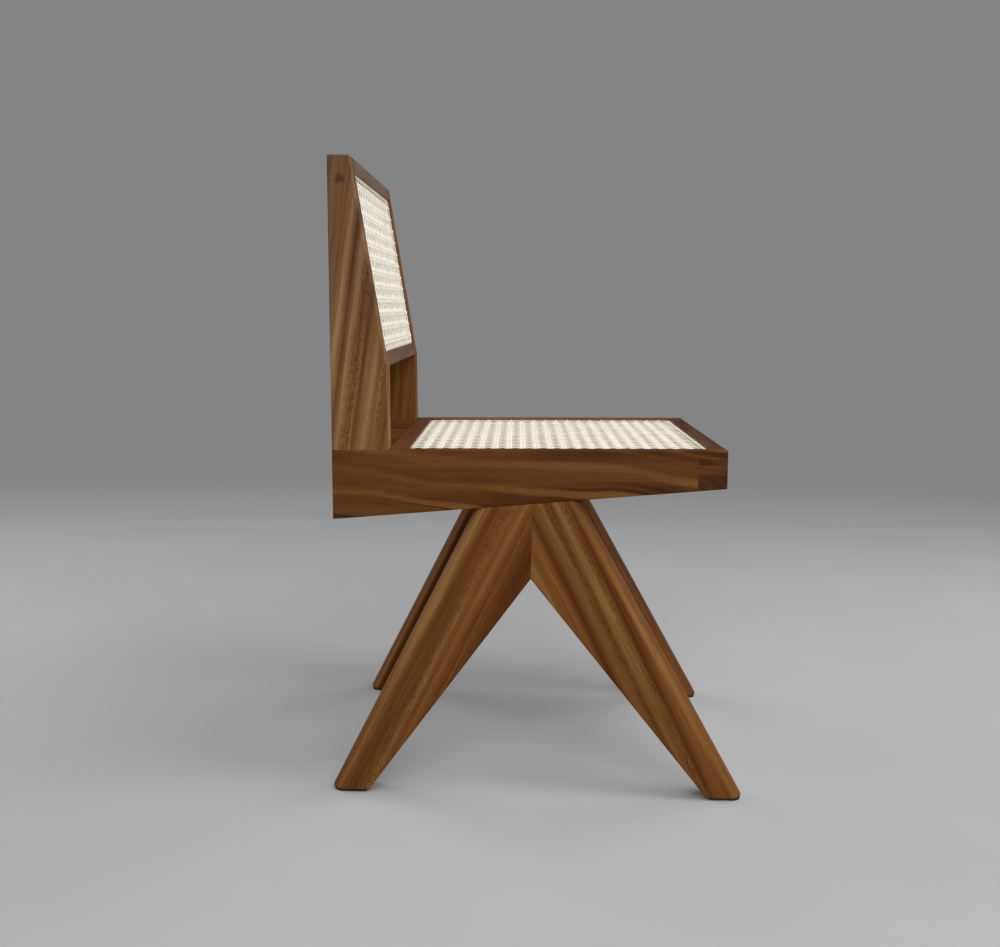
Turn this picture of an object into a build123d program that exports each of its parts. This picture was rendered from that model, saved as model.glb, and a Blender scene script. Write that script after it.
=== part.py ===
from build123d import *
import os
from math import atan2, cos, degrees, hypot, radians, sin

os.makedirs("parts", exist_ok=True)

# Seat frame, in millimetres: the chair faces -Y and stands on Z = 0
seat_width = 450.0  # over the outer faces of the side rails
rail_length = 487.0  # side rail, along its top edge
seat_rear_height = 440.0  # top edge of the side rail at its rear end
seat_tilt = 1.1  # degrees, front edge up
board = 36.0  # thickness of side rails, front rail, stiles and legs
rail_rear_depth = 86.5
rail_front_depth = 47.5
rear_rail_depth = 47.0
rear_rail_board = 39.0

# Box joint at the front corners, from the top edge down; the last finger takes the rest
top_finger = 9.7
upper_socket = 8.4
middle_finger = 12.0

# Back
stile_height = 354.5  # above the side rail
stile_foot_width = 69.5
stile_knee_width = 68.8
stile_knee_height = 101.3
stile_top_width = 27.0
back_rail_board = 24.0  # square to the face of the back
top_rail_height = 28.0
bottom_rail_height = 28.0

# Legs
leg_joint = 248.5  # butt joint of a pair of legs, forward of the rail's rear end
leg_butt_height = 95.0  # of the butt joint, from the crotch up to the rail
rear_head_width = 69.5  # from the butt joint, where the leg meets the rail
front_head_width = 58.5
foot_width = 47.5
rear_toe = 0.0  # forward of the rail's rear end
front_toe_reach = 40.0  # beyond the rail's front end
bullnose = 15.0  # radius on the outer long edges of a leg

# Cane panels, set in a rebate round each opening
seat_rebate_width = 16.0
back_rebate_width = 10.0
rebate_depth = 6.0
cane_thickness = 1.6
cane_clearance = 0.3
spline_width = 5.0
spline_thickness = 1.4
net_pitch = 26.0
net_gap = 14.5  # across the flats
net_gap_sides = 8
net_margin = 4.0  # from the rebate's ledge to the first gaps

# Foot pads
pad_thickness = 2.5
pad_inset = 3.0

# Loose tenons: thickness, width, and depth into each piece
tenon_clearance = 0.1
tenon_end_gap = 1.0
stile_tenon_thickness = 12.0
stile_tenon_width = 44.0
stile_tenon_depth = 40.0
leg_tenon_thickness = 12.0
leg_head_tenon_width = 36.0
leg_head_tenon_depth = 25.0
leg_pair_tenon_width = 40.0
leg_pair_tenon_depth = 20.0
rear_rail_tenon_thickness = 12.0
rear_rail_tenon_width = 28.0
rear_rail_tenon_depth = 20.0
back_tenon_thickness = 8.0
back_tenon_width = 14.0
back_tenon_depth = 18.0

# Eased edges
rail_ease = 1.2
stile_ease = 2.0
leg_inner_ease = 2.0
foot_ease = 3.0

# Places worked out from the sizes above
tilt = radians(seat_tilt)
half_width = seat_width / 2
inner_face = half_width - board
board_middle = half_width - board / 2
rear_rail_front = stile_foot_width + rear_rail_board
front_rail_rear = rail_length - board
rail_slope = (rail_rear_depth - rail_front_depth) / rail_length
front_rail_rear_depth = rail_front_depth + rail_slope * board
stile_front_depth = rail_rear_depth - rail_slope * stile_foot_width
middle_finger_top = top_finger + upper_socket
middle_finger_low = middle_finger_top + middle_finger
sides = {"right": -1, "left": 1}
board_start = {"right": -inner_face, "left": half_width}


def from_floor(forward, height):
    # A point of the tilted seat frame, as forward distance and height in the floor's own frame
    along = forward * cos(tilt) - height * sin(tilt)
    above = seat_rear_height + forward * sin(tilt) + height * cos(tilt)
    return along, above


front_toe = from_floor(rail_length, 0)[0] + front_toe_reach
back_overhang = -from_floor(0, stile_height)[0]
rear_end_y = (front_toe - back_overhang) / 2


def floor_side(x):
    # Side view from the floor: forward, then up; it faces the sitter's right
    return Plane((x, rear_end_y, 0), (0, -1, 0), (-1, 0, 0))


def seat_side(x):
    # Side view of the seat frame: forward along the seat, then up from its top edge
    return Plane((x, rear_end_y, seat_rear_height), (0, -cos(tilt), sin(tilt)), (-1, 0, 0))


def seat_direction(forward, height):
    return seat_side(0).x_dir * forward + seat_side(0).y_dir * height


def seat_top(height):
    # Plan of the seat frame at a height above its top edge: to the left, then back
    return Plane(seat_side(0).from_local_coords((0, height, 0)), (1, 0, 0), seat_direction(0, 1))


# Face of the back, from the stile's knee to its top
face_run = stile_knee_width - stile_top_width
face_rise = stile_height - stile_knee_height
face_length = hypot(face_run, face_rise)
face_up = (-face_run / face_length, face_rise / face_length)
face_out = (face_rise / face_length, face_run / face_length)
face_lean = degrees(atan2(face_run, face_rise))


def face_point(up, behind=0.0):
    # A point in the seat frame's side view, up the face of the back from the knee, and behind it
    forward = stile_knee_width + up * face_up[0] - behind * face_out[0]
    height = stile_knee_height + up * face_up[1] - behind * face_out[1]
    return forward, height


def back_face(behind):
    # Front view of the back, parallel to its face: to the left, then up from the knee
    origin = seat_side(0).from_local_coords((*face_point(0, behind), 0))
    return Plane(origin, (1, 0, 0), seat_direction(*face_out))


def underside_height(forward):
    # Underside of a side rail, in the floor's own frame
    low = from_floor(0, -rail_rear_depth)
    high = from_floor(rail_length, -rail_front_depth)
    return low[1] + (forward - low[0]) * (high[1] - low[1]) / (high[0] - low[0])


def underside(x):
    # Underside of a side rail at the butt joint of the legs: forward along it, facing down
    origin = (x, rear_end_y - leg_joint, underside_height(leg_joint))
    return Plane(origin, seat_direction(1, rail_slope), seat_direction(rail_slope, -1))


leg_crotch_height = underside_height(leg_joint) - leg_butt_height
leg_pair_tenon_rise = (leg_butt_height - leg_head_tenon_depth - tenon_end_gap) / 2


def leg_butt(x):
    # Butt joint of a pair of legs, halfway from the crotch to the head mortises: up, facing back
    middle = (x, rear_end_y - leg_joint, leg_crotch_height + leg_pair_tenon_rise)
    return Plane(middle, (0, 0, 1), (0, 1, 0))


# Each kind of joint: the places of its tenons in one of the planes above, their section and its turn
stile_joints = {
    "places": [(board_middle * sign, -stile_foot_width / 2) for sign in sides.values()],
    "section": (stile_tenon_thickness, stile_tenon_width),
}
head_joints = {
    place: {"places": [(forward, 0)], "section": (leg_head_tenon_width, leg_tenon_thickness)}
    for place, forward in (("rear", -rear_head_width / 2), ("front", front_head_width / 2))
}
pair_joint = {"places": [(0, 0)], "section": (leg_pair_tenon_width, leg_tenon_thickness)}
rear_rail_joint = {
    "places": [(stile_foot_width + rear_rail_board / 2, -rear_rail_depth / 2)],
    "section": (rear_rail_tenon_thickness, rear_rail_tenon_width),
}
back_joints = {
    "places": [
        face_point(rail_middle, back_rail_board / 2)
        for rail_middle in (bottom_rail_height / 2, face_length - top_rail_height / 2)
    ],
    "section": (back_tenon_thickness, back_tenon_width),
    "turn": face_lean,
}


def mortise(plane, joint, depth):
    # Mortises in the part being built; a negative depth cuts behind the plane
    length, height = (size + 2 * tenon_clearance for size in joint["section"])
    with BuildSketch(plane) as mouths:
        with Locations(*joint["places"]):
            Rectangle(length, height, rotation=joint.get("turn", 0))
    reach = depth + tenon_end_gap if depth > 0 else depth - tenon_end_gap
    extrude(mouths.sketch, amount=reach, mode=Mode.SUBTRACT)


def tenon(plane, joint, depth):
    # Loose tenons that reach the same depth on both sides of the plane
    with BuildSketch(plane) as sections:
        with Locations(*joint["places"]):
            Rectangle(*joint["section"], rotation=joint.get("turn", 0))
    extrude(sections.sketch, amount=depth, both=True)


def outline(plane, *points):
    with BuildSketch(plane) as shape:
        with BuildLine():
            Polyline(*points, close=True)
        make_face()
    return shape.sketch


def keep(piece, name):
    piece.part.label = name
    export_step(piece.part, f"parts/{name}.step")


# Openings that the cane fills, between the walls of the rebates
seat_opening = {
    "at": (0, -(front_rail_rear + rear_rail_front) / 2),
    "width": 2 * (inner_face + seat_rebate_width),
    "length": front_rail_rear - rear_rail_front + 2 * seat_rebate_width,
    "ledge": seat_rebate_width,
}
back_opening = {
    "at": (0, (face_length - top_rail_height + bottom_rail_height) / 2),
    "width": 2 * (inner_face + back_rebate_width),
    "length": face_length - top_rail_height - bottom_rail_height + 2 * back_rebate_width,
    "ledge": back_rebate_width,
}


def rebate(plane, opening):
    with BuildSketch(plane) as hollow:
        with Locations(opening["at"]):
            Rectangle(opening["width"], opening["length"])
    extrude(hollow.sketch, amount=-rebate_depth, mode=Mode.SUBTRACT)


def cane_net(plane, opening):
    # One sheet with gaps in rows and columns, clear of the rebate's ledge
    closed_edges = 2 * (opening["ledge"] + net_margin) + net_gap
    columns = int((opening["width"] - closed_edges) / net_pitch) + 1
    rows = int((opening["length"] - closed_edges) / net_pitch) + 1
    flat_side_up = 180 / net_gap_sides
    with BuildSketch(plane) as sheet:
        with Locations(opening["at"]):
            Rectangle(opening["width"] - 2 * cane_clearance, opening["length"] - 2 * cane_clearance)
            with GridLocations(net_pitch, net_pitch, columns, rows):
                RegularPolygon(
                    net_gap / 2, net_gap_sides, major_radius=False, rotation=flat_side_up, mode=Mode.SUBTRACT
                )
    extrude(sheet.sketch, amount=cane_thickness)


def edge_spline(plane, opening):
    # Strip that lies on the edge of the cane, all round the opening
    outer_inset = 2 * cane_clearance
    inner_inset = outer_inset + 2 * spline_width
    with BuildSketch(plane) as strip:
        with Locations(opening["at"]):
            Rectangle(opening["width"] - outer_inset, opening["length"] - outer_inset)
            Rectangle(opening["width"] - inner_inset, opening["length"] - inner_inset, mode=Mode.SUBTRACT)
    extrude(strip.sketch, amount=spline_thickness)


def corner_cut(side, top, low):
    # Clears the front corner of the seat frame between two depths below its top edge
    corner = outline(
        seat_side(board_start[side]),
        (front_rail_rear, -top),
        (rail_length, -top),
        (rail_length, -low),
        (front_rail_rear, -low),
    )
    extrude(corner, amount=board, mode=Mode.SUBTRACT)


# Side rails: deep behind, shallow in front, with sockets for the front rail's fingers
for side, sign in sides.items():
    view = seat_side(board_start[side])
    with BuildPart() as side_rail:
        ahead_of_stile = outline(
            view,
            (stile_foot_width, 0),
            (rail_length, 0),
            (rail_length, -rail_front_depth),
            (stile_foot_width, -stile_front_depth),
        )
        extrude(ahead_of_stile, amount=board)
        outer_edges = side_rail.faces().sort_by(Axis.X)[0 if side == "right" else -1].edges()
        fillet(outer_edges.sort_by(Axis.Z)[-1:] + outer_edges.sort_by(Axis.Y)[:1], radius=rail_ease)
        under_stile = outline(
            view,
            (0, 0),
            (stile_foot_width, 0),
            (stile_foot_width, -stile_front_depth),
            (0, -rail_rear_depth),
        )
        extrude(under_stile, amount=board)
        bottom_edges = side_rail.faces().sort_by(Axis.Z)[0].edges()
        rear_edges = side_rail.faces().sort_by(Axis.Y)[-1].edges()
        fillet(bottom_edges.sort_by(Axis.Y)[1:] + rear_edges.sort_by(Axis.Z)[1:3], radius=rail_ease)
        corner_cut(side, top_finger, middle_finger_top)
        corner_cut(side, middle_finger_low, front_rail_rear_depth)
        rebate(seat_top(0), seat_opening)
        mortise(seat_top(0), stile_joints, -stile_tenon_depth)
        for head_joint in head_joints.values():
            mortise(underside(board_middle * sign), head_joint, -leg_head_tenon_depth)
        mortise(seat_side(inner_face * sign), rear_rail_joint, -rear_rail_tenon_depth * sign)
    keep(side_rail, f"side_rail_{side}")

# Front rail: its fingers pass through both side rails
with BuildPart() as front_rail:
    section = outline(
        seat_side(half_width),
        (front_rail_rear, 0),
        (rail_length, 0),
        (rail_length, -rail_front_depth),
        (front_rail_rear, -front_rail_rear_depth),
    )
    extrude(section, amount=seat_width)
    eased_edges = front_rail.faces().sort_by(Axis.Y)[0].edges()
    for end_face in front_rail.faces().filter_by(Axis.X):
        eased_edges += end_face.edges().sort_by(Axis.Z)[:1]
    fillet(eased_edges, radius=rail_ease)
    for side in sides:
        corner_cut(side, 0, top_finger)
        corner_cut(side, middle_finger_top, middle_finger_low)
    rebate(seat_top(0), seat_opening)
keep(front_rail, "front_rail")

# Rear seat rail, between the side rails and ahead of the stiles
with BuildPart() as rear_rail:
    section = outline(
        seat_side(inner_face),
        (stile_foot_width, 0),
        (rear_rail_front, 0),
        (rear_rail_front, -rear_rail_depth),
        (stile_foot_width, -rear_rail_depth),
    )
    extrude(section, amount=2 * inner_face)
    rear_edges = rear_rail.faces().sort_by(Axis.Y)[-1].edges().filter_by(Axis.X)
    bottom_edges = rear_rail.faces().sort_by(Axis.Z)[0].edges().filter_by(Axis.X)
    fillet(rear_edges + bottom_edges.sort_by(Axis.Y)[:1], radius=rail_ease)
    rebate(seat_top(0), seat_opening)
    for sign in sides.values():
        mortise(seat_side(inner_face * sign), rear_rail_joint, rear_rail_tenon_depth * sign)
keep(rear_rail, "rear_rail")

# Back stiles, which taper upwards from the knee
for side, sign in sides.items():
    with BuildPart() as stile:
        board_face = outline(
            seat_side(board_start[side]),
            (0, 0),
            (stile_foot_width, 0),
            (stile_knee_width, stile_knee_height),
            (stile_top_width, stile_height),
            (0, stile_height),
        )
        extrude(board_face, amount=board)
        outer_edges = stile.faces().sort_by(Axis.X)[0 if side == "right" else -1].edges()
        top_edges = stile.faces().sort_by(Axis.Z)[-1].edges().filter_by(Axis.X)
        fillet(outer_edges.sort_by(Axis.Z)[1:] + top_edges, radius=stile_ease)
        rebate(back_face(0), back_opening)
        mortise(seat_top(0), stile_joints, stile_tenon_depth)
        mortise(seat_side(inner_face * sign), back_joints, -back_tenon_depth * sign)
    keep(stile, f"stile_{side}")

# Back rails: their front faces lie in the face of the back, and the upper one ends level with the stiles
top_rail_rear_up = (face_rise + back_rail_board * face_out[1]) / face_up[1]
back_rails = {
    "back_top_rail": (
        face_point(face_length),
        face_point(face_length - top_rail_height),
        face_point(face_length - top_rail_height, back_rail_board),
        face_point(top_rail_rear_up, back_rail_board),
    ),
    "back_bottom_rail": (
        face_point(bottom_rail_height),
        face_point(0),
        face_point(0, back_rail_board),
        face_point(bottom_rail_height, back_rail_board),
    ),
}
for name, corners in back_rails.items():
    with BuildPart() as back_rail:
        extrude(outline(seat_side(inner_face), *corners), amount=2 * inner_face)
        long_edges = back_rail.edges().filter_by(Axis.X).sort_by(Axis.Z)
        fillet(long_edges[-2:] if name == "back_top_rail" else long_edges[:2], radius=stile_ease)
        rebate(back_face(0), back_opening)
        for sign in sides.values():
            mortise(seat_side(inner_face * sign), back_joints, back_tenon_depth * sign)
    keep(back_rail, name)

# Legs: each pair meets in a butt joint under its side rail, with bullnosed outer edges
rear_head = leg_joint - rear_head_width
front_head = leg_joint + front_head_width
crotch = (leg_joint, leg_crotch_height)
butt_top = (leg_joint, underside_height(leg_joint))
leg_outlines = {
    "rear": (
        (rear_toe, pad_thickness),
        (rear_toe + foot_width, pad_thickness),
        crotch,
        butt_top,
        (rear_head, underside_height(rear_head)),
    ),
    "front": (
        (front_toe, pad_thickness),
        (front_toe - foot_width, pad_thickness),
        crotch,
        butt_top,
        (front_head, underside_height(front_head)),
    ),
}
for side, sign in sides.items():
    for place, corners in leg_outlines.items():
        with BuildPart() as leg:
            extrude(outline(floor_side(board_start[side]), *corners), amount=board)
            toe, heel, *_, head = corners
            long_outer = Axis((0, 0, 0), (0, toe[0] - head[0], head[1] - toe[1]))
            long_inner = Axis((0, 0, 0), (0, heel[0] - crotch[0], crotch[1] - heel[1]))
            fillet(leg.edges().filter_by(long_outer), radius=bullnose)
            fillet(leg.faces().sort_by(Axis.Z)[0].edges(), radius=foot_ease)
            fillet(leg.edges().filter_by(long_inner), radius=leg_inner_ease)
            mortise(underside(board_middle * sign), head_joints[place], leg_head_tenon_depth)
            into_leg = leg_pair_tenon_depth if place == "rear" else -leg_pair_tenon_depth
            mortise(leg_butt(board_middle * sign), pair_joint, into_leg)
        keep(leg, f"{place}_leg_{side}")

        # Foot pad, inset all round from the foot and rounded as its outer edges are
        foot_middle = (toe[0] + heel[0]) / 2
        with BuildPart() as foot_pad:
            with BuildSketch(Plane((board_middle * sign, rear_end_y - foot_middle, 0))) as pad_shape:
                Rectangle(board - 2 * pad_inset, foot_width - 2 * pad_inset)
                pad_corners = pad_shape.vertices().sort_by(Axis.Y)
                fillet(pad_corners[-2:] if place == "rear" else pad_corners[:2], radius=bullnose - pad_inset)
            extrude(amount=pad_thickness)
        keep(foot_pad, f"foot_pad_{place}_{side}")

# Cane panels and the splines that close their edges
cane_top = rebate_depth - cane_thickness
with BuildPart() as seat_cane:
    cane_net(seat_top(-rebate_depth), seat_opening)
keep(seat_cane, "seat_cane")

with BuildPart() as seat_spline:
    edge_spline(seat_top(-cane_top), seat_opening)
keep(seat_spline, "seat_spline")

with BuildPart() as back_cane:
    cane_net(back_face(rebate_depth), back_opening)
keep(back_cane, "back_cane")

with BuildPart() as back_spline:
    edge_spline(back_face(cane_top), back_opening)
keep(back_spline, "back_spline")

# Loose tenons, grouped by the joint that they hold
with BuildPart() as stile_tenons:
    tenon(seat_top(0), stile_joints, stile_tenon_depth)
keep(stile_tenons, "stile_tenons")

with BuildPart() as leg_head_tenons:
    for sign in sides.values():
        for head_joint in head_joints.values():
            tenon(underside(board_middle * sign), head_joint, leg_head_tenon_depth)
keep(leg_head_tenons, "leg_head_tenons")

with BuildPart() as leg_pair_tenons:
    for sign in sides.values():
        tenon(leg_butt(board_middle * sign), pair_joint, leg_pair_tenon_depth)
keep(leg_pair_tenons, "leg_pair_tenons")

with BuildPart() as rear_rail_tenons:
    for sign in sides.values():
        tenon(seat_side(inner_face * sign), rear_rail_joint, rear_rail_tenon_depth)
keep(rear_rail_tenons, "rear_rail_tenons")

with BuildPart() as back_rail_tenons:
    for sign in sides.values():
        tenon(seat_side(inner_face * sign), back_joints, back_tenon_depth)
keep(back_rail_tenons, "back_rail_tenons")
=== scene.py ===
import bmesh
import bpy
import math
import random
from mathutils import Matrix, Vector


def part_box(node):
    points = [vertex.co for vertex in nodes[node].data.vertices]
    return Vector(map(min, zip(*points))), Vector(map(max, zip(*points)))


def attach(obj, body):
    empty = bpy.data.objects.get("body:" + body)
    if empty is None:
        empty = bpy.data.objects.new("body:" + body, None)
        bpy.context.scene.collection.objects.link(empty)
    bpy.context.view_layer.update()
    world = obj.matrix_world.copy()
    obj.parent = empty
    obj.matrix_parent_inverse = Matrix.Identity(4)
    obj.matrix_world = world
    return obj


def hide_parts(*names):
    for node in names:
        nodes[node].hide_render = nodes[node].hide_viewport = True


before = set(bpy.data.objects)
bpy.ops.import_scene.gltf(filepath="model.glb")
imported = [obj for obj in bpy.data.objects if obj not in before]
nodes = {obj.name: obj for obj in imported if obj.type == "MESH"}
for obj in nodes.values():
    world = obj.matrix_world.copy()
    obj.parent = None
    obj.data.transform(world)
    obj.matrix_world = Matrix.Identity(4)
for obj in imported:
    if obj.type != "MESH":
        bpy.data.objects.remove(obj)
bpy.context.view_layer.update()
scene = bpy.context.scene
print("frame loaded:", len(nodes), "nodes")


# small helpers for node trees

def newMaterial(name):
    material = bpy.data.materials.new(name)
    material.use_nodes = True
    tree = material.node_tree
    return material, tree, tree.nodes["Principled BSDF"]


def addNode(tree, kind, inputs, **settings):
    node = tree.nodes.new(kind)
    for key, value in settings.items():
        setattr(node, key, value)
    for socket, value in inputs.items():
        if isinstance(value, bpy.types.NodeSocket):
            tree.links.new(value, node.inputs[socket])
        else:
            node.inputs[socket].default_value = value
    return node


def mathNode(tree, operation, *values):
    inputs = dict(enumerate(values))
    return addNode(tree, "ShaderNodeMath", inputs, operation=operation).outputs[0]


def vectorMath(tree, operation, *values):
    return addNode(tree, "ShaderNodeVectorMath", dict(enumerate(values)), operation=operation)


def axisOf(tree, vector, axis):
    return addNode(tree, "ShaderNodeSeparateXYZ", {0: vector}).outputs[axis]


def mapping(tree, vector, **inputs):
    sockets = {"Vector": vector}
    sockets.update({key.capitalize(): value for key, value in inputs.items()})
    return addNode(tree, "ShaderNodeMapping", sockets).outputs[0]


def noise(tree, vector, detail=2.0, roughness=0.5):
    inputs = {"Vector": vector, "Scale": 1.0, "Detail": detail, "Roughness": roughness}
    return addNode(tree, "ShaderNodeTexNoise", inputs)


def ramp(tree, factor, *stops):
    node = addNode(tree, "ShaderNodeValToRGB", {0: factor})
    elements = node.color_ramp.elements
    while len(elements) < len(stops):
        elements.new(0.5)
    for element, (place, colour) in zip(elements, stops):
        element.position = place
        element.color = (*colour, 1.0)
    return node.outputs[0]


def smoothStep(tree, value, low, high):
    inputs = {"Value": value, "From Min": low, "From Max": high}
    return addNode(tree, "ShaderNodeMapRange", inputs, interpolation_type="SMOOTHSTEP").outputs[0]


def mixColour(tree, factor, first, second):
    # sockets 6 and 7 are the node's two colours
    return addNode(tree, "ShaderNodeMix", {0: factor, 6: first, 7: second}, data_type="RGBA").outputs[2]


def addBump(tree, shader, height, finish):
    inputs = {"Height": height, "Strength": finish["bump"], "Distance": finish["bumpDepth"]}
    tree.links.new(addNode(tree, "ShaderNodeBump", inputs).outputs[0], shader.inputs["Normal"])


def srgb(*channels):
    shares = (channel / 255 for channel in channels)
    return tuple(s / 12.92 if s <= 0.04045 else ((s + 0.055) / 1.055) ** 2.4 for s in shares)


# oiled brown wood, one board at a time: the grain runs along it, and the rings go round a pith beside it

wood = {
    "tones": (
        (0.05, srgb(56, 28, 6)),
        (0.30, srgb(80, 45, 13)),
        (0.50, srgb(102, 63, 24)),
        (0.72, srgb(124, 85, 40)),
        (0.95, srgb(150, 113, 66)),
    ),
    "lift": 0.0,             # makes a whole board paler
    "rings": 0.9,            # how strongly each pattern shows
    "ribbons": 0.6,
    "broad": 0.35,
    "fibre": 0.55,
    # how strongly the painted highlight along a leg's rounded outer edge shows
    "paintedRimHighlightSwing": 0.85,
    "ringRate": 62.0,        # bands a metre, out from the pith
    "ringDetail": 3.0,
    "ringRoughness": 0.55,
    "warp": 0.026,           # how far the rings waver
    "homeStep": (1.7, 0.31, 0.53),     # each board is cut from another part of the tree
    "stripeReach": 0.125,    # how far in from the edge a board's stripes are given
    "stripeWander": 0.007,
    # which faces count as tops for the painted shade on tops
    "paintedShadeFacing": (0.6, 0.9),
    "hue": 0.498,
    "hueSwing": 0.022,
    "saturation": 1.0,
    "pore": srgb(46, 23, 6),
    "poreEdge": (0.60, 0.70),
    "poreDepth": 0.28,
    "darkest": 0.85,         # the most that pores and flecks cover
    "roughness": 0.54,
    "roughnessSwing": 0.2,
    "specular": 0.1,
    "bump": 0.3,
    "bumpDepth": 0.0004,
    "bumpFibre": 0.4,
}
# waves a metre, along the grain and then across it; the swirl's are in the chair's own axes
patterns = {
    "drift": {"scale": (3.4, 8.0, 8.0)},
    "ribbon": {"scale": (1.3, 85.0, 85.0), "detail": 3.0, "roughness": 0.6},
    "broad": {"scale": (2.2, 22.0, 22.0), "detail": 1.0},
    "fibre": {"scale": (13.0, 760.0, 760.0), "detail": 3.0, "roughness": 0.65},
    "pore": {"scale": (95.0, 1300.0, 1300.0), "detail": 1.0},
    "wander": {"scale": (5.0, 9.0, 9.0)},
    "fleckPatch": {"scale": (11.0, 30.0, 30.0)},
    "knotSwirl": {"scale": (170.0, 170.0, 130.0)},
}
vein = {"halfWidth": 0.06, "fade": (0.3, 0.6)}
fleck = {
    "cells": (190.0, 520.0, 520.0),    # cells a metre, along the grain and then across it
    "edge": (0.62, 0.2),
    "picked": (0.15, 0.5),             # the rest of the cells stay bare
    "patchEdge": (0.3, 0.45),
    "core": 0.3,                       # share of a chain's width that is full of them
    "facing": (0.3, 0.8),              # only the broad faces show them
    "depth": 0.6,
}
knot = {"swirl": 0.006, "reach": (0.0085, 0.001), "depth": 0.36}
sawnEnd = {
    "tones": ((0.25, srgb(48, 24, 8)), (0.5, srgb(64, 34, 13)), (0.8, srgb(92, 53, 23))),
    "rings": 1.2,
    "middle": 0.28,
    "fibre": 0.4,
    "facing": (0.75, 0.95),
    "share": 0.85,
}

sideRail = {
    "grain": (0, -1, 0.0192), "rings": 1.15, "ringRate": 44.0, "ringDetail": 1.2, "fibre": 0.3,
    "warp": 0.06, "ribbons": 0.15, "veins": 0.5,
}
# stripes and a leg's painted edge highlight and shade: distance in from the board's outer edge, then tone
stileStripes = (
    (0.0, 0.36), (0.010, 0.42), (0.020, 0.5), (0.035, 0.54), (0.041, 0.66), (0.0475, 0.38),
    (0.054, 0.62), (0.062, 0.68), (0.067, 0.5), (0.072, 0.62), (0.0765, 0.46), (0.083, 0.65),
    (0.089, 0.5), (0.095, 0.6), (0.102, 0.46), (0.115, 0.44),
)
frontLeg = {
    "grain": (0, 0.458, 0.89), "outer": (0, 0.5, 0.866), "hue": 0.493, "saturation": 1.02, "figure": 0.75,
    "stripes": ((0.012, 0.52), (0.026, 0.46), (0.0345, 0.2), (0.040, 0.5), (0.048, 0.62), (0.056, 0.38),
                (0.063, 0.55), (0.071, 0.62), (0.079, 0.3), (0.088, 0.58)),
    "paintedRimHighlight": ((0.0, 0.36), (0.0025, 0.42), (0.0065, 0.68), (0.009, 0.64), (0.013, 0.5)),
}
rearLeg = {
    "grain": (0, -0.437, 0.9), "outer": (0, -0.437, 0.9), "hue": 0.493, "saturation": 1.02, "figure": 1.2,
    "stripes": ((0.009, 0.48), (0.013, 0.37), (0.022, 0.32), (0.027, 0.54), (0.035, 0.57), (0.041, 0.68),
                (0.046, 0.57), (0.053, 0.64), (0.060, 0.48), (0.072, 0.36), (0.080, 0.3)),
    "paintedRimHighlight": ((0.0, 0.5), (0.002, 0.6), (0.005, 0.7), (0.0075, 0.66), (0.0095, 0.5)),
}
# some boards have painted shade on their upward faces, and the legs a painted highlight along their rounded
# outer edge
boards = {
    "side_rail_right": {
        **sideRail, "seed": 1.0, "pith": (0.03, 0.11), "tilt": 5.0, "lift": 0.04, "paintedTopShade": 0.14,
    },
    "side_rail_left": {
        **sideRail, "seed": 2.7, "pith": (-0.03, 0.10), "tilt": 4.0, "lift": 0.11, "paintedTopShade": 0.42,
    },
    "front_rail": {
        "grain": (1, 0, 0), "seed": 3.1, "pith": (0.06, 0.05), "tilt": 2.0, "lift": 0.02, "paintedTopShade": 0.38,
    },
    "rear_rail": {
        "grain": (1, 0, 0), "seed": 4.4, "pith": (0.05, -0.06), "tilt": -2.0, "lift": -0.03, "paintedTopShade": 0.2,
    },
    "stile_right": {
        "grain": (0, -0.13, 1),     # cut a little across the grain
        "seed": 5.2, "pith": (0.09, 0.05), "tilt": 2.0, "rings": 0.5, "ribbons": 1.3, "lift": -0.01,
        "hue": 0.497, "saturation": 0.88, "warmFrom": (0.68, 0.48), "warmth": 0.1, "warmLift": 0.26,
        "stripes": stileStripes, "figure": 0.75, "flecks": 1.0, "chains": ((0.0675, 0.011), (0.103, 0.006)),
        "knot": (-0.225, 0.2513, 0.7663),
    },
    "stile_left": {
        "grain": (0, -0.05, 1), "seed": 6.8, "pith": (-0.09, 0.05), "tilt": -2.0, "rings": 0.6,
        "ribbons": 0.9, "lift": 0.04, "hue": 0.495, "saturation": 1.02,
        "stripes": stileStripes, "figure": 0.9, "flecks": 0.6, "chains": ((0.045, 0.008),),
    },
    # painted reflection: this rail is darker and greyer in colour, standing in for the grey sheen its front
    # face shows at a grazing view
    "back_top_rail": {
        "grain": (1, 0, 0), "seed": 7.5, "pith": (0.05, 0.04), "tilt": 2.0, "lift": -0.17, "saturation": 0.75,
        "specular": 0.3,
    },
    "back_bottom_rail": {
        "grain": (1, 0, 0), "seed": 8.3, "pith": (0.04, 0.06), "tilt": 3.0, "lift": -0.08, "saturation": 0.8,
    },
    "front_leg_right": {
        **frontLeg, "seed": 9.6, "pith": (0.12, 0.03), "tilt": 0.5, "rings": 0.3, "ribbons": 0.9,
        "lift": 0.12, "flecks": 1.0, "chains": ((0.0405, 0.005), (0.058, 0.005)),
    },
    "front_leg_left": {
        **frontLeg, "seed": 10.2, "pith": (0.12, -0.03), "tilt": 0.8, "rings": 0.4, "ribbons": 1.0,
        "lift": -0.06, "flecks": 0.8, "chains": ((0.050, 0.005),),
    },
    "rear_leg_right": {
        **rearLeg, "seed": 11.9, "pith": (0.11, 0.04), "tilt": -0.7, "rings": 0.3, "ribbons": 0.8,
        "lift": 0.145, "flecks": 0.8, "chains": ((0.036, 0.010),),
    },
    "rear_leg_left": {
        **rearLeg, "seed": 12.4, "pith": (0.13, -0.03), "tilt": 0.7, "rings": 0.4, "ribbons": 0.9,
        "lift": -0.03, "flecks": 0.7, "chains": ((0.042, 0.008),),
    },
}


def about(tree, value, gain):
    # a noise as a swing about nought
    return mathNode(tree, "MULTIPLY", mathNode(tree, "SUBTRACT", value, 0.5), gain)


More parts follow.
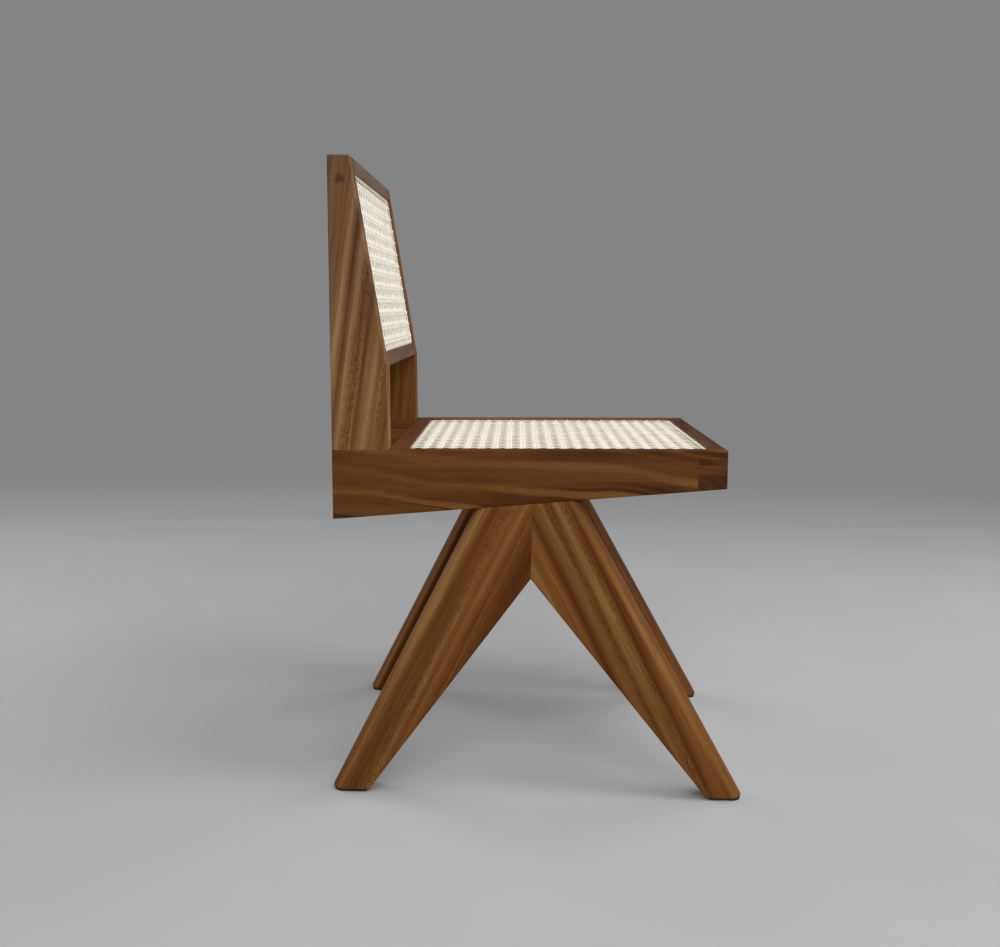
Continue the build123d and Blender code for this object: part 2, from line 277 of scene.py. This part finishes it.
def addSwing(tree, tone, value, gain):
    return mathNode(tree, "ADD", tone, about(tree, value, gain))


def patternNoise(tree, vector, kind):
    settings = dict(patterns[kind])
    place = mapping(tree, vector, scale=settings.pop("scale"))
    return noise(tree, place, **settings)


def boardHome(board):
    return Vector([step * board["seed"] for step in wood["homeStep"]])


def alongGrain(tree, board, place):
    # the board's own axes, x along its grain
    gx, gy, gz = board["grain"]
    turn = (0, 0, 0) if gx else (-math.atan2(gz, gy), 0, -math.pi / 2)
    return mapping(tree, place, rotation=turn, location=boardHome(board))


def growthRings(tree, board, grain):
    # distance from a slanting pith, wavering along the board
    drift = patternNoise(tree, grain, "drift").outputs["Color"]
    centred = vectorMath(tree, "SUBTRACT", drift, (0.5, 0.5, 0.5)).outputs[0]
    sway = (0, board["warp"], board["warp"])
    warped = vectorMath(tree, "MULTIPLY_ADD", centred, sway, grain).outputs[0]
    home = boardHome(board)
    pithY, pithZ = board["pith"]
    aboutPith = mapping(tree, warped, location=(-home.x, -home.y - pithY, -home.z - pithZ))
    slant = math.radians(board["tilt"])
    tilted = mapping(tree, aboutPith, rotation=(0, slant, slant))
    flattened = mapping(tree, tilted, scale=(0.0, 1.0, 1.0))
    radius = vectorMath(tree, "LENGTH", flattened).outputs["Value"]
    ringCount = mathNode(tree, "MULTIPLY", radius, board["ringRate"])
    ringPlace = addNode(tree, "ShaderNodeCombineXYZ", {0: ringCount, 1: board["seed"]}).outputs[0]
    return noise(tree, ringPlace, board["ringDetail"], wood["ringRoughness"]).outputs["Fac"]


def grainFields(tree, board):
    coordinates = addNode(tree, "ShaderNodeTexCoord", {})
    fields = {"place": coordinates.outputs["Object"], "normal": coordinates.outputs["Normal"]}
    fields["grain"] = alongGrain(tree, board, fields["place"])
    fields["rings"] = growthRings(tree, board, fields["grain"])
    for kind in ("ribbon", "broad", "fibre", "pore"):
        fields[kind] = patternNoise(tree, fields["grain"], kind).outputs["Fac"]
    return fields


def veinLines(tree, board, fields):
    # thin dark lines where the ring noise crosses its middle, fading in and out along the board
    crossing = mathNode(tree, "ABSOLUTE", about(tree, fields["rings"], 1.0))
    line = smoothStep(tree, crossing, vein["halfWidth"], 0.0)
    shown = mathNode(tree, "MULTIPLY", line, smoothStep(tree, fields["broad"], *vein["fade"]))
    return mathNode(tree, "MULTIPLY", shown, board["veins"])


def knotHeart(tree, board, fields):
    swirl = patternNoise(tree, fields["place"], "knotSwirl").outputs["Fac"]
    away = vectorMath(tree, "DISTANCE", fields["place"], board["knot"]).outputs["Value"]
    reach = addSwing(tree, away, swirl, knot["swirl"])
    return mathNode(tree, "MULTIPLY", smoothStep(tree, reach, *knot["reach"]), knot["depth"])


def paintedTopShading(tree, board, fields):
    # painted shade: upward faces are darkened in colour, standing in for less light falling on the tops
    top = smoothStep(tree, axisOf(tree, fields["normal"], "Z"), *wood["paintedShadeFacing"])
    return mathNode(tree, "MULTIPLY", top, board["paintedTopShade"])


def grainTone(tree, board, fields):
    tone = mathNode(tree, "ADD", about(tree, fields["rings"], board["rings"]), 0.5 + board["lift"])
    for kind, strength in (("ribbon", "ribbons"), ("broad", "broad"), ("fibre", "fibre")):
        tone = addSwing(tree, tone, fields[kind], board[strength])
    for key, shade in (("veins", veinLines), ("knot", knotHeart), ("paintedTopShade", paintedTopShading)):
        if key in board:
            tone = mathNode(tree, "SUBTRACT", tone, shade(tree, board, fields))
    return tone


def outerCorner(nodeName):
    # the toe of a leg, or the rear top corner of a stile
    low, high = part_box(nodeName)
    if "stile" in nodeName:
        return (0, high[1], high[2])
    return (0, low[1] if "front" in nodeName else high[1], low[2])


def distanceIn(tree, place, direction, nodeName):
    # how far in from the line through the board's outer corner
    away = vectorMath(tree, "SUBTRACT", place, outerCorner(nodeName)).outputs[0]
    inward = 1 if "front" in nodeName else -1
    square = Vector((0, direction[2], -direction[1])).normalized() * inward
    return vectorMath(tree, "DOT_PRODUCT", away, square).outputs["Value"]


def stripeTone(tree, distance, stripes):
    stops = [(at / wood["stripeReach"], (tone, tone, tone)) for at, tone in stripes]
    return ramp(tree, mathNode(tree, "DIVIDE", distance, wood["stripeReach"]), *stops)


def fleckChains(tree, board, fields, inFrom):
    # chains of small dark flecks, in patches along the board
    cellPlace = mapping(tree, fields["grain"], scale=fleck["cells"])
    cells = addNode(tree, "ShaderNodeTexVoronoi", {"Vector": cellPlace, "Scale": 1.0})
    spots = smoothStep(tree, cells.outputs["Distance"], *fleck["edge"])
    pick = addNode(tree, "ShaderNodeSeparateColor", {0: cells.outputs["Color"]}).outputs[0]
    spots = mathNode(tree, "MULTIPLY", spots, smoothStep(tree, pick, *fleck["picked"]))
    patches = patternNoise(tree, fields["grain"], "fleckPatch").outputs["Fac"]
    patches = smoothStep(tree, patches, *fleck["patchEdge"])
    flecks = 0.0
    for at, half in board["chains"]:
        away = mathNode(tree, "ABSOLUTE", mathNode(tree, "SUBTRACT", inFrom, at))
        chain = mathNode(tree, "MULTIPLY", smoothStep(tree, away, half, half * fleck["core"]), patches)
        flecks = mathNode(tree, "ADD", flecks, mathNode(tree, "MULTIPLY", chain, spots))
    sideways = mathNode(tree, "ABSOLUTE", axisOf(tree, fields["normal"], "X"))
    broadFace = smoothStep(tree, sideways, *fleck["facing"])
    return mathNode(tree, "MULTIPLY", flecks, mathNode(tree, "MULTIPLY", broadFace, board["flecks"]))


def stripedTone(tree, board, fields, tone, nodeName):
    # the board's own stripes and its flecks, and a painted highlight along its rounded outer edge
    wander = patternNoise(tree, fields["grain"], "wander").outputs["Fac"]
    straight = distanceIn(tree, fields["place"], board["grain"], nodeName)
    inFrom = addSwing(tree, straight, wander, wood["stripeWander"])
    tone = addSwing(tree, tone, stripeTone(tree, inFrom, board["stripes"]), board["figure"])
    # painted highlight: a pale band along the rounded outer edge, with painted shade at the very edge, where
    # light would catch the bullnose
    if "paintedRimHighlight" in board:
        fromHighlightedRim = distanceIn(tree, fields["place"], board["outer"], nodeName)
        tone = addSwing(tree, tone, stripeTone(tree, fromHighlightedRim, board["paintedRimHighlight"]), wood["paintedRimHighlightSwing"])
    return tone, fleckChains(tree, board, fields, inFrom)


def poresAndFlecks(tree, fields, flecks):
    pores = smoothStep(tree, fields["pore"], *wood["poreEdge"])
    flecks = mathNode(tree, "MULTIPLY", flecks, fleck["depth"])
    both = mathNode(tree, "MULTIPLY_ADD", pores, wood["poreDepth"], flecks)
    return mathNode(tree, "MINIMUM", both, wood["darkest"])


def darkenEnds(tree, board, fields, colour):
    # sawn ends drink more oil, so they are darker, with the rings showing as arcs
    arcs = mathNode(tree, "ADD", about(tree, fields["rings"], sawnEnd["rings"]), sawnEnd["middle"])
    tone = mathNode(tree, "MULTIPLY_ADD", fields["fibre"], sawnEnd["fibre"], arcs)
    along = Vector(board["grain"]).normalized()
    facing = vectorMath(tree, "DOT_PRODUCT", fields["normal"], along).outputs["Value"]
    sawn = smoothStep(tree, mathNode(tree, "ABSOLUTE", facing), *sawnEnd["facing"])
    share = mathNode(tree, "MULTIPLY", sawn, sawnEnd["share"])
    return mixColour(tree, share, colour, ramp(tree, tone, *sawnEnd["tones"]))


def woodMaterial(name, ownValues, nodeName=""):
    board = {**wood, **ownValues}
    material, tree, shader = newMaterial(name)
    fields = grainFields(tree, board)
    tone, flecks = grainTone(tree, board, fields), 0.0
    if "stripes" in board:
        tone, flecks = stripedTone(tree, board, fields, tone, nodeName)
    saturation = board["saturation"]
    if "warmFrom" in board:
        # paler and warmer towards its foot
        warm = smoothStep(tree, axisOf(tree, fields["place"], "Z"), *board["warmFrom"])
        tone = mathNode(tree, "MULTIPLY_ADD", warm, board["warmLift"], tone)
        saturation = mathNode(tree, "MULTIPLY_ADD", warm, board["warmth"], saturation)
    hue = mathNode(tree, "ADD", about(tree, fields["broad"], wood["hueSwing"]), board["hue"])
    tint = {"Hue": hue, "Saturation": saturation, "Color": ramp(tree, tone, *wood["tones"])}
    colour = addNode(tree, "ShaderNodeHueSaturation", tint).outputs[0]
    dust = poresAndFlecks(tree, fields, flecks)
    colour = mixColour(tree, dust, colour, (*wood["pore"], 1))
    colour = darkenEnds(tree, board, fields, colour)
    tree.links.new(colour, shader.inputs["Base Color"])
    smoothest = wood["roughness"] - wood["roughnessSwing"] / 2
    rough = mathNode(tree, "MULTIPLY_ADD", fields["fibre"], wood["roughnessSwing"], smoothest)
    tree.links.new(rough, shader.inputs["Roughness"])
    shader.inputs["Specular IOR Level"].default_value = board["specular"]
    height = mathNode(tree, "SUBTRACT", mathNode(tree, "MULTIPLY", fields["fibre"], wood["bumpFibre"]), dust)
    addBump(tree, shader, height, wood)
    return material


for nodeName, board in boards.items():
    nodes[nodeName].material_slots[0].material = woodMaterial("wood_" + nodeName, board, nodeName)
print("wood finished:", len(boards), "boards")


# hidden loose tenons in bare wood, and dark foot pads

bareWood = {"grain": (1, 0, 0), "seed": 20.0, "pith": (0.05, 0.05), "tilt": 1.0}
padRubber = {
    "tones": ((0.35, srgb(24, 22, 20)), (0.75, srgb(46, 42, 38))),
    "gritScale": (900, 900, 900),
    "gritDetail": 3.0,
    "roughness": 0.75,
    "bump": 0.3,
    "bumpDepth": 0.0003,
}


def rubberMaterial(name):
    material, tree, shader = newMaterial(name)
    place = addNode(tree, "ShaderNodeTexCoord", {}).outputs["Object"]
    gritPlace = mapping(tree, place, scale=padRubber["gritScale"])
    grit = noise(tree, gritPlace, padRubber["gritDetail"]).outputs["Fac"]
    tree.links.new(ramp(tree, grit, *padRubber["tones"]), shader.inputs["Base Color"])
    addBump(tree, shader, grit, padRubber)
    shader.inputs["Roughness"].default_value = padRubber["roughness"]
    return material


tenonWood = woodMaterial("tenon_wood", bareWood)
rubber = rubberMaterial("pad_rubber")
for nodeName, node in nodes.items():
    if nodeName.endswith("_tenons"):
        node.material_slots[0].material = tenonWood
    elif nodeName.startswith("foot_pad"):
        node.material_slots[0].material = rubber
print("tenons and pads finished")


# woven cane: pairs of strands both ways and a diagonal each way, over and under

cane = {
    "pitch": 0.0178,
    "pairSpread": 0.0024,     # from the middle of a pair to each strand
    "width": 0.0028,
    "diagonalWidth": 0.0025,
    "thickness": 0.00045,
    "crown": 0.0002,
    "pairRise": 0.0003,
    "diagonalRise": 0.0004,
    "aboveLedge": 0.0012,     # middle of the weave, over the rebate's ledge
    "stepsPerPitch": 7,
    "shortest": 0.25,         # of a pitch; a diagonal shorter than this is left out
    "wander": 0.00022,
    "wanderShare": (0.4, 1.0),
    "wanderRate": 0.7,        # radians a pitch
    "wanderStart": 6.28,
    "edgeTuck": 0.0015,       # strands end this far inside the sheet's edge
    "seed": 41,
}
caneTone = {
    "tones": ((0.3, srgb(208, 198, 170)), (0.55, srgb(236, 231, 215)), (0.85, srgb(247, 244, 234))),
    "uvRate": 10,             # pattern units a metre along a strand
    "streakScale": (1.5, 9.0, 1.0),
    "streakDetail": 3.0,
    "streakRoughness": 0.6,
    "streak": 0.5,
    "patchScale": (4.0, 1.0, 1.0),
    "patch": 0.4,
    "strand": 0.3,            # how far one strand differs from the next
    "roughness": 0.5,
    "specular": 0.3,
    "bump": 0.25,
    "bumpDepth": 0.0002,
}
panels = {
    "seat": {"facing": Vector((0, 0, 1)), "fullness": 0.92},
    "back": {"facing": Vector((0, -1, 0)), "fullness": 1.18},     # woven from slightly wider strands
}


def panelFrame(nodeName, facing, likeness=0.9):
    mesh = nodes[nodeName].data
    face = max((p for p in mesh.polygons if p.normal.dot(facing) > likeness), key=lambda p: p.area)
    side = Vector((1, 0, 0))
    normal = face.normal.copy()
    along = normal.cross(side)
    spans = [[axis.dot(v.co) for v in mesh.vertices] for axis in (side, along, normal)]
    low = [min(span) for span in spans]
    high = [max(span) for span in spans]
    middle = side * (low[0] + high[0]) / 2 + along * (low[1] + high[1]) / 2 + normal * high[2]
    place = Matrix.Translation(middle) @ Matrix((side, along, normal)).transposed().to_4x4()
    return place, high[0] - low[0], high[1] - low[1], high[2] - low[2]


def wovenSpan(nodeName, facing):
    # the sheet's place, half its woven width and length, and the level of the weave
    place, width, length, depth = panelFrame(nodeName, facing)
    halfWidth, halfLength = width / 2 - cane["edgeTuck"], length / 2 - cane["edgeTuck"]
    return place, halfWidth, halfLength, cane["aboveLedge"] - depth


def addStrand(bm, layers, start, end, width, heightAt, index, draw, steps=0):
    run = end - start
    length = run.length
    direction = run / length
    across = Vector((-direction.y, direction.x))
    steps = steps or max(2, round(length / cane["pitch"] * cane["stepsPerPitch"]))
    phase = draw.uniform(0, cane["wanderStart"])
    wobble = draw.uniform(*cane["wanderShare"]) * cane["wander"]
    tone = draw.uniform(0, 1)
    made = bmesh.ops.create_grid(bm, x_segments=steps, y_segments=2, size=1.0)
    for vert in made["verts"]:
        part, aside = (vert.co.x + 1) / 2, vert.co.y
        sway = wobble * math.sin(phase + part * length / cane["pitch"] * cane["wanderRate"])
        point = start + run * part + across * (aside * width / 2 + sway)
        vert.co = (point.x, point.y, heightAt(point) + cane["crown"] * (1 - aside * aside))
    for face in {face for vert in made["verts"] for face in vert.link_faces}:
        for loop in face.loops:
            offset = Vector(loop.vert.co.xy) - start
            along = offset.dot(direction) * caneTone["uvRate"]
            loop[layers["uv"]].uv = (along, index + offset.dot(across) / width)
            loop[layers["tone"]] = (tone, tone, tone, 1)


def clipDiagonal(offset, slope, halfWidth, halfLength):
    # where the line y = slope * x + offset crosses the panel
    ends = sorted(((y - offset) / slope for y in (-halfLength, halfLength)))
    low, high = max(-halfWidth, ends[0]), min(halfWidth, ends[1])
    if high - low < cane["pitch"] * cane["shortest"]:
        return None
    return Vector((low, slope * low + offset)), Vector((high, slope * high + offset))


def strandSheet():
    bm = bmesh.new()
    layers = {"uv": bm.loops.layers.uv.new("strand"), "tone": bm.loops.layers.float_color.new("strandTone")}
    return bm, layers


def setInPlace(bm, name, place):
    bmesh.ops.transform(bm, matrix=place, verts=bm.verts)
    mesh = bpy.data.meshes.new(name)
    bm.to_mesh(mesh)
    bm.free()
    mesh.shade_smooth()
    piece = bpy.data.objects.new(name, mesh)
    scene.collection.objects.link(piece)
    print(name, "made:", len(mesh.polygons), "faces")
    return piece


def finishStrands(bm, name, place):
    piece = setInPlace(bm, name, place)
    shell = piece.modifiers.new("thickness", "SOLIDIFY")
    shell.thickness = cane["thickness"]
    shell.offset = -1
    return piece


def weavePairs(name, nodeName, facing, fullness):
    place, halfWidth, halfLength, level = wovenSpan(nodeName, facing)
    pitch, spread, rise = cane["pitch"], cane["pairSpread"], cane["pairRise"]
    wave = 2 * math.pi / pitch
    draw = random.Random(cane["seed"])
    bm, layers = strandSheet()
    index = 0
    for half, other, upright in ((halfWidth, halfLength, True), (halfLength, halfWidth, False)):
        for pair in range(-int(half / pitch) - 1, int(half / pitch) + 1):
            for hand in (-1, 1):
                at = (pair + 0.5) * pitch + hand * spread
                if abs(at) > half:
                    continue
                if upright:
                    ends = Vector((at, -other)), Vector((at, other))
                    heightAt = lambda p, h=hand: level - h * rise * math.sin(wave * p.y)
                else:
                    ends = Vector((-other, at)), Vector((other, at))
                    heightAt = lambda p, h=hand: level + h * rise * math.sin(wave * p.x)
                addStrand(bm, layers, *ends, cane["width"] * fullness, heightAt, index, draw)
                index += 1
    return finishStrands(bm, name, place)


def weaveDiagonals(name, nodeName, facing, fullness):
    place, halfWidth, halfLength, level = wovenSpan(nodeName, facing)
    pitch, rise = cane["pitch"], cane["diagonalRise"]
    wave = 2 * math.pi / pitch
    draw = random.Random(cane["seed"] + 1)
    bm, layers = strandSheet()
    index = 0
    reach = int((halfWidth + halfLength) / pitch) + 1
    for slope in (1, -1):
        for step in range(-reach, reach):
            ends = clipDiagonal((step + 0.5) * pitch, slope, halfWidth, halfLength)
            if ends:
                heightAt = lambda p, s=slope: level - s * rise * math.cos(wave * p.x)
                addStrand(bm, layers, *ends, cane["diagonalWidth"] * fullness, heightAt, index, draw)
                index += 1
    return finishStrands(bm, name, place)


def caneMaterial(name):
    material, tree, shader = newMaterial(name)
    uv = addNode(tree, "ShaderNodeUVMap", {}, uv_map="strand").outputs[0]
    streakPlace = mapping(tree, uv, scale=caneTone["streakScale"])
    streak = noise(tree, streakPlace, caneTone["streakDetail"], caneTone["streakRoughness"]).outputs["Fac"]
    patch = noise(tree, mapping(tree, uv, scale=caneTone["patchScale"])).outputs["Fac"]
    strand = addNode(tree, "ShaderNodeAttribute", {}, attribute_name="strandTone").outputs["Fac"]
    tone = mathNode(tree, "MULTIPLY", patch, caneTone["patch"])
    tone = mathNode(tree, "MULTIPLY_ADD", streak, caneTone["streak"], tone)
    tone = mathNode(tree, "MULTIPLY_ADD", strand, caneTone["strand"], tone)
    tree.links.new(ramp(tree, tone, *caneTone["tones"]), shader.inputs["Base Color"])
    addBump(tree, shader, streak, caneTone)
    shader.inputs["Roughness"].default_value = caneTone["roughness"]
    shader.inputs["Specular IOR Level"].default_value = caneTone["specular"]
    return material


caneFinish = caneMaterial("cane_strands")
for panelName, panel in panels.items():
    for weave, suffix in ((weavePairs, "_cane_pairs"), (weaveDiagonals, "_cane_diagonals")):
        piece = weave(panelName + suffix, panelName + "_cane", panel["facing"], panel["fullness"])
        piece.data.materials.append(caneFinish)
        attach(piece, "root")
        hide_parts(panelName + "_cane")
print("cane woven:", len(panels), "panels")


# flat strip round each panel, tied down at each pair of strands

reed = {
    "width": 0.0045,
    "crown": 0.0008,
    "segments": 3,
    "sharp": 1,               # radians; the top's sharper edges are rounded
    "levelWithin": 1e-6,
    "tones": ((0.3, srgb(214, 204, 178)), (0.6, srgb(240, 235, 219))),
    "fleckScale": (160, 160, 160),
    "fleckDetail": 4.0,
    "roughness": 0.6,
    "bump": 0.2,
    "bumpDepth": 0.0003,
}
tie = {"width": 0.0026, "overhang": 0.0007, "rise": 0.0008, "steps": 8, "squareness": 4}


def pressSpline(name, nodeName, facing):
    place, width, length, depth = panelFrame(nodeName, facing)
    bm = bmesh.new()
    bmesh.ops.create_grid(bm, x_segments=1, y_segments=1, size=0.5)
    bmesh.ops.scale(bm, vec=(width, length, 1), verts=bm.verts)
    sheet = bm.faces[:]
    bmesh.ops.inset_region(bm, faces=sheet, thickness=reed["width"], use_boundary=True, use_even_offset=True)
    bmesh.ops.delete(bm, geom=sheet, context="FACES_ONLY")
    lower = bmesh.ops.extrude_face_region(bm, geom=bm.faces[:], use_keep_orig=True)
    lowered = [item for item in lower["geom"] if isinstance(item, bmesh.types.BMVert)]
    bmesh.ops.translate(bm, vec=(0, 0, -depth), verts=lowered)
    bmesh.ops.recalc_face_normals(bm, faces=bm.faces)
    top = [edge for edge in bm.edges if all(abs(v.co.z) < reed["levelWithin"] for v in edge.verts)
           and edge.is_manifold and edge.calc_face_angle(0) > reed["sharp"]]
    bmesh.ops.bevel(bm, geom=top, offset=reed["crown"], affect="EDGES", segments=reed["segments"],
                    profile=0.5, material=-1)
    return setInPlace(bm, name, place)


def tieEdge(name, nodeName, facing):
    # a loop over the edge strip at each pair of strands
    place, width, length, depth = panelFrame(nodeName, facing)
    middleX, middleY = (width - reed["width"]) / 2, (length - reed["width"]) / 2
    reach = reed["width"] / 2 + tie["overhang"]
    draw = random.Random(cane["seed"] + 2)
    bm, layers = strandSheet()
    index = 0
    for middle, other, upright in ((middleX, middleY, True), (middleY, middleX, False)):
        for pair in range(-int(other / cane["pitch"]), int(other / cane["pitch"])):
            at = (pair + 0.5) * cane["pitch"]
            for side in (-1, 1):
                inner, outer = side * (middle - reach), side * (middle + reach)
                if upright:
                    ends = Vector((inner, at)), Vector((outer, at))
                else:
                    ends = Vector((at, inner)), Vector((at, outer))

                def heightAt(point, middle=middle, side=side, upright=upright):
                    off = ((point.x if upright else point.y) * side - middle) / reach
                    return (depth + tie["rise"]) * math.sqrt(max(0.0, 1 - off ** tie["squareness"])) - depth

                addStrand(bm, layers, *ends, tie["width"], heightAt, index, draw, tie["steps"])
                index += 1
    return finishStrands(bm, name, place)


def reedMaterial(name):
    material, tree, shader = newMaterial(name)
    place = addNode(tree, "ShaderNodeTexCoord", {}).outputs["Object"]
    mottle = noise(tree, mapping(tree, place, scale=reed["fleckScale"]), reed["fleckDetail"]).outputs["Fac"]
    tree.links.new(ramp(tree, mottle, *reed["tones"]), shader.inputs["Base Color"])
    addBump(tree, shader, mottle, reed)
    shader.inputs["Roughness"].default_value = reed["roughness"]
    return material


reedFinish = reedMaterial("reed_spline")
for panelName, panel in panels.items():
    piece = pressSpline(panelName + "_reed", panelName + "_spline", panel["facing"])
    piece.data.materials.append(reedFinish)
    ties = tieEdge(panelName + "_ties", panelName + "_spline", panel["facing"])
    ties.data.materials.append(caneFinish)
    for part in (piece, ties):
        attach(part, "root")
    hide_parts(panelName + "_spline")
print("edge strips tied down")


# pale floor that fades into the backdrop, soft light

studio = {
    "floor": (0.415, 0.415, 0.42),
    "mottle": ((0.3, 0.97), (0.7, 1.03)),      # noise, then share of the floor's colour
    "mottleScale": (2.5, 2.5, 2.5),
    "mottleDetail": 3.0,
    "floorRoughness": 0.85,
    "floorReach": 14.0,
    "floorSides": 96,
    "fade": (1.2, 3.4),        # metres out from the chair
    "horizon": (0.23, 0.23, 0.235),
    "zenith": (0.235, 0.24, 0.245),
    "riseFrom": 0.12,          # the backdrop stays even below this share of straight up
    "lampsAim": (0, 0, 0.4),
}
lamps = {
    "key": {"at": (-0.5, -0.8, 2.8), "size": 1.2, "watts": 32.0},
    "front": {"at": (-0.9, -2.4, 1.5), "size": 2.2, "watts": 11.0},
    "left": {"at": (1.6, -2.8, 1.6), "size": 2.0, "watts": 32.0},
    "fill": {"at": (-2.5, -0.4, 2.1), "size": 2.0, "watts": 46.0},
    "rear": {"at": (1.2, 2.5, 1.6), "size": 2.0, "watts": 30.0},
}


def floorMaterial(name):
    material, tree, shader = newMaterial(name)
    place = addNode(tree, "ShaderNodeTexCoord", {}).outputs["Object"]
    mottlePlace = mapping(tree, place, scale=studio["mottleScale"])
    mottle = noise(tree, mottlePlace, studio["mottleDetail"]).outputs["Fac"]
    tones = [(at, tuple(channel * share for channel in studio["floor"])) for at, share in studio["mottle"]]
    tree.links.new(ramp(tree, mottle, *tones), shader.inputs["Base Color"])
    shader.inputs["Roughness"].default_value = studio["floorRoughness"]
    away = vectorMath(tree, "LENGTH", place).outputs["Value"]
    fade = smoothStep(tree, away, *studio["fade"])
    glow = addNode(tree, "ShaderNodeEmission", {"Color": (*studio["horizon"], 1), "Strength": 1.0})
    mixed = addNode(tree, "ShaderNodeMixShader", {0: fade, 1: shader.outputs[0], 2: glow.outputs[0]})
    tree.links.new(mixed.outputs[0], tree.nodes["Material Output"].inputs["Surface"])
    return material


def layFloor():
    bm = bmesh.new()
    bmesh.ops.create_circle(bm, cap_ends=True, segments=studio["floorSides"], radius=studio["floorReach"])
    mesh = bpy.data.meshes.new("floor")
    bm.to_mesh(mesh)
    bm.free()
    floor = bpy.data.objects.new("floor", mesh)
    scene.collection.objects.link(floor)
    mesh.materials.append(floorMaterial("pale_floor"))


def paintBackdrop():
    world = bpy.data.worlds.new("studio")
    scene.world = world
    world.use_nodes = True
    tree = world.node_tree
    direction = addNode(tree, "ShaderNodeTexCoord", {}).outputs["Generated"]
    rise = smoothStep(tree, axisOf(tree, direction, "Z"), studio["riseFrom"], 1.0)
    glow = mixColour(tree, rise, (*studio["horizon"], 1), (*studio["zenith"], 1))
    tree.links.new(glow, tree.nodes["Background"].inputs["Color"])


def hangLamps():
    for name, lamp in lamps.items():
        data = bpy.data.lights.new(name, "AREA")
        data.size = lamp["size"]
        data.energy = lamp["watts"]
        light = bpy.data.objects.new(name, data)
        light.location = lamp["at"]
        aim = Vector(studio["lampsAim"]) - light.location
        light.rotation_mode = "QUATERNION"
        light.rotation_quaternion = aim.to_track_quat("-Z", "Y")
        scene.collection.objects.link(light)


layFloor()
paintBackdrop()
hangLamps()
print("floor and lights in place")


# camera at the sitter's right, looking a little down

shot = {
    "at": (-1.70965, 0.03319, 0.61897),
    "yaw": 0.74,       # degrees, from straight across the chair towards its back
    "down": 7.81,
    "roll": 1.16,
    "lens": 43.83,
    "sensor": 36.0,
}


def placeCamera():
    data = bpy.data.cameras.new("camera")
    data.sensor_fit = "HORIZONTAL"
    data.sensor_width = shot["sensor"]
    data.lens = shot["lens"]
    camera = bpy.data.objects.new("camera", data)
    yaw, down, roll = (math.radians(shot[key]) for key in ("yaw", "down", "roll"))
    level = Vector((math.cos(yaw), math.sin(yaw), 0))
    ahead = level * math.cos(down) - Vector((0, 0, math.sin(down)))
    right = ahead.cross(Vector((0, 0, 1))).normalized()
    above = right.cross(ahead)
    rolledRight = right * math.cos(roll) + above * math.sin(roll)
    rolledUp = above * math.cos(roll) - right * math.sin(roll)
    turn = Matrix((rolledRight, rolledUp, -ahead)).transposed().to_4x4()
    camera.matrix_world = Matrix.Translation(shot["at"]) @ turn
    scene.collection.objects.link(camera)
    scene.camera = camera


placeCamera()
scene.view_settings.view_transform = "Standard"
